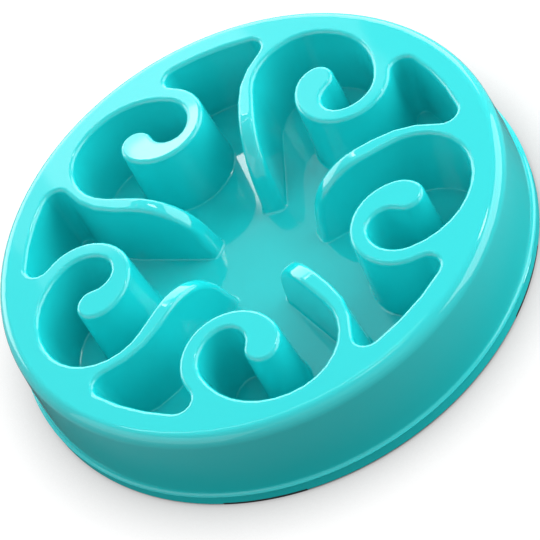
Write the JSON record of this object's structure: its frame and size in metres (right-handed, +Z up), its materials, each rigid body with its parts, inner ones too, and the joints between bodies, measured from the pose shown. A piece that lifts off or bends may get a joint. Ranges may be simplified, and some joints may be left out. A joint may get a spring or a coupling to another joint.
{
  "type": "slow feeder bowl",
  "caption": "Round slow feeder pet bowl with spiral walls and sloping fins rising from its floor, on rubber feet.",
  "frame": {"origin": "centre of the bowl on the plane it stands on", "axes": "+Z up out of the bowl; the picture was taken from the -Y side"},
  "size_m": [0.2402, 0.2402, 0.0412],
  "materials": {
    "bowl": "gloss",
    "foot": "matte"
  },
  "bodies": {
    "root": {"bowl": "bowl", "foot_1": "foot", "foot_2": "foot", "foot_3": "foot", "foot_4": "foot", "foot_5": "foot"}
  },
  "joints": []
}
